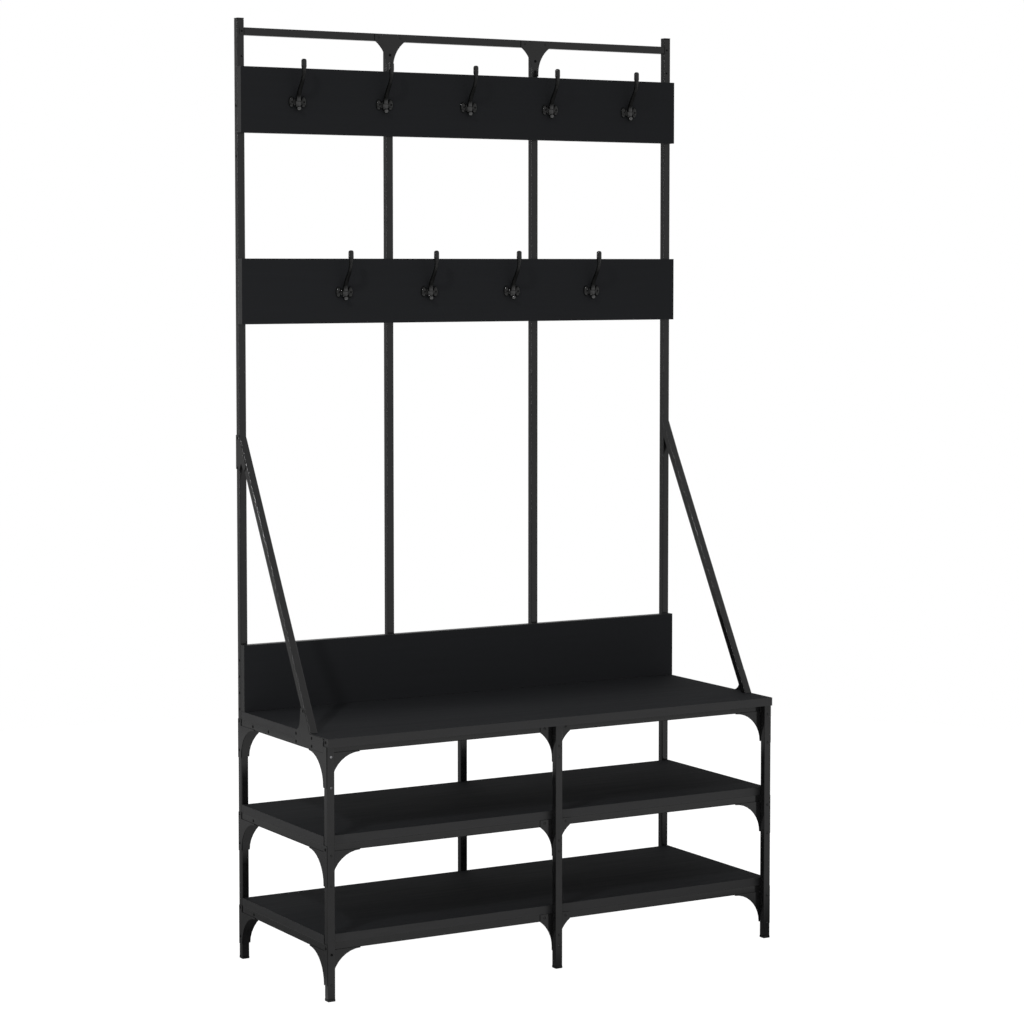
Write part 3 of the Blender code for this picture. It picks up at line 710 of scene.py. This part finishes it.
def arm_stations():
    """Arm from the boss up and forward, a slim neck, and a round-ended finger."""
    p0, p1, p2, p3 = [Vector((0, y, z)) for y, z in ARM_PATH]
    stations = []
    for step in range(ARM_STEPS + 1):
        t = step / ARM_STEPS
        place = p0 * (1 - t) ** 3 + p1 * (3 * t * (1 - t) ** 2) + p2 * (3 * t * t * (1 - t)) + p3 * t ** 3
        tangent = (p1 - p0) * (1 - t) ** 2 + (p2 - p1) * (2 * t * (1 - t)) + (p3 - p2) * t * t
        swell = ARM_SWELL * max(0.0, (t - 0.8) / 0.2) ** 2
        half_width = ARM_WIDTH - ARM_WIDTH_LOSS * t ** 0.6 + swell
        half_depth = ARM_DEPTH - ARM_DEPTH_LOSS * t + swell
        stations.append((place, tangent, half_width, half_depth))
    upright = Vector((0, 0, 1))
    for lift in FINGER_LIFTS:
        stations.append((p3 + upright * lift, upright, *FINGER))
    for angle in FINGER_ANGLES:
        lift = FINGER_LIFTS[-1] + FINGER_ROUND * sin(radians(angle))
        shrink = cos(radians(angle)) ** 0.7
        stations.append((p3 + upright * lift, upright, FINGER[0] * shrink, FINGER[1] * shrink))
    return stations


def hook_mesh(enamel):
    """One cast hook: arm, boss, blunt nose and two ears, melted into one skin."""
    bm = bmesh.new()
    add_sweep(bm, arm_stations())
    for middle, half in (BOSS, NOSE, BASE):
        add_ball(bm, middle, half)
    for side in (-1, 1):
        add_ball(bm, (side * EAR_X, EAR_Y, EAR_Z), EAR_HALF)
    bmesh.ops.recalc_face_normals(bm, faces=bm.faces)
    mesh = bpy.data.meshes.new("hook_blank")
    bm.to_mesh(mesh)
    bm.free()
    blank = bpy.data.objects.new("hook_blank", mesh)
    bpy.context.scene.collection.objects.link(blank)
    melt = blank.modifiers.new("melt", "REMESH")
    melt.mode = "VOXEL"
    melt.voxel_size = HOOK_VOXEL
    soften = blank.modifiers.new("soften", "SMOOTH")
    soften.factor = 0.5
    soften.iterations = 3
    bpy.context.view_layer.update()
    result = bpy.data.meshes.new_from_object(blank.evaluated_get(bpy.context.evaluated_depsgraph_get()))
    bpy.data.objects.remove(blank)
    for vert in result.vertices:
        vert.co.y = min(vert.co.y, 0.0)
    result.materials.clear()
    result.materials.append(enamel)
    result.shade_smooth()
    return result


def hook_centre(node):
    """Middle of a hook's base, on the board's face."""
    low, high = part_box(node)
    return Vector(((low.x + high.x) / 2, high.y, high.z - HOOK_TOP))


def add_hooks(enamel, black):
    """The same casting for every hook, each with a screw in either ear."""
    shape = hook_mesh(enamel)
    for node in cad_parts:
        if not node.startswith("coat_hook"):
            continue
        item = bpy.data.objects.new(node + "_cast", shape)
        centre = hook_centre(node)
        item.location = centre
        bpy.context.scene.collection.objects.link(item)
        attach(item, BODY)
        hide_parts(node)
        spots = [(centre + Vector((side * EAR_X, EAR_SCREW_Y, EAR_Z)), (0, -1, 0)) for side in (-1, 1)]
        screw_group(node + "_screws", spots, black, EAR_HEAD, EAR_RISE)


# ---------------------------------------------------------------- everything
MOULDED_EDGE = 0.0010    # rounding of the finished copies' edges
THIN_EDGE = 0.00015
METAL_EDGE = 0.00030


def add_finished_copies(paint, plastic):
    """Every node that isn't a board or a hook, painted or moulded."""
    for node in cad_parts:
        if node in BOARDS or node.startswith("coat_hook"):
            continue
        name = node + "_finished"
        if node.startswith(("foot_", "post_cap_")):
            finished_copy(node, name, plastic, MOULDED_EDGE)
        else:
            thin = node.endswith(("_left_rail", "_right_rail")) or node.startswith("brace_")
            finished_copy(node, name, paint, THIN_EDGE if thin else METAL_EDGE)


def main():
    """Camera, room and every piece. The left leg's two screws under the seat are bare metal, the lower one
    darker.
    """
    paint = paint_material()
    plastic = plastic_material()
    black = screw_material("black_screw", (0.002, 0.002, 0.002), 0.0, 0.35, 0.5, specular=0.06)
    # Bare metal heads for the left leg's two screws under the seat, the lower one a darker copy.
    lighter_bare = screw_material("lighter_bare_screw", (0.24, 0.24, 0.25), 1.0, 0.25, 0.4)
    darker_bare = screw_material("darker_bare_screw", (0.13, 0.13, 0.135), 1.0, 0.3, 0.45)
    looks = {"black": black, "painted": paint,
             ("seat", "left", "upper"): lighter_bare, ("seat", "left", "lower"): darker_bare,
             ("bottom_shelf", "left", "upper"): black}
    add_camera()
    add_studio()
    add_floor()
    add_boards()
    add_finished_copies(paint, plastic)
    add_hooks(enamel_material(), black)
    add_screws(looks)


main()
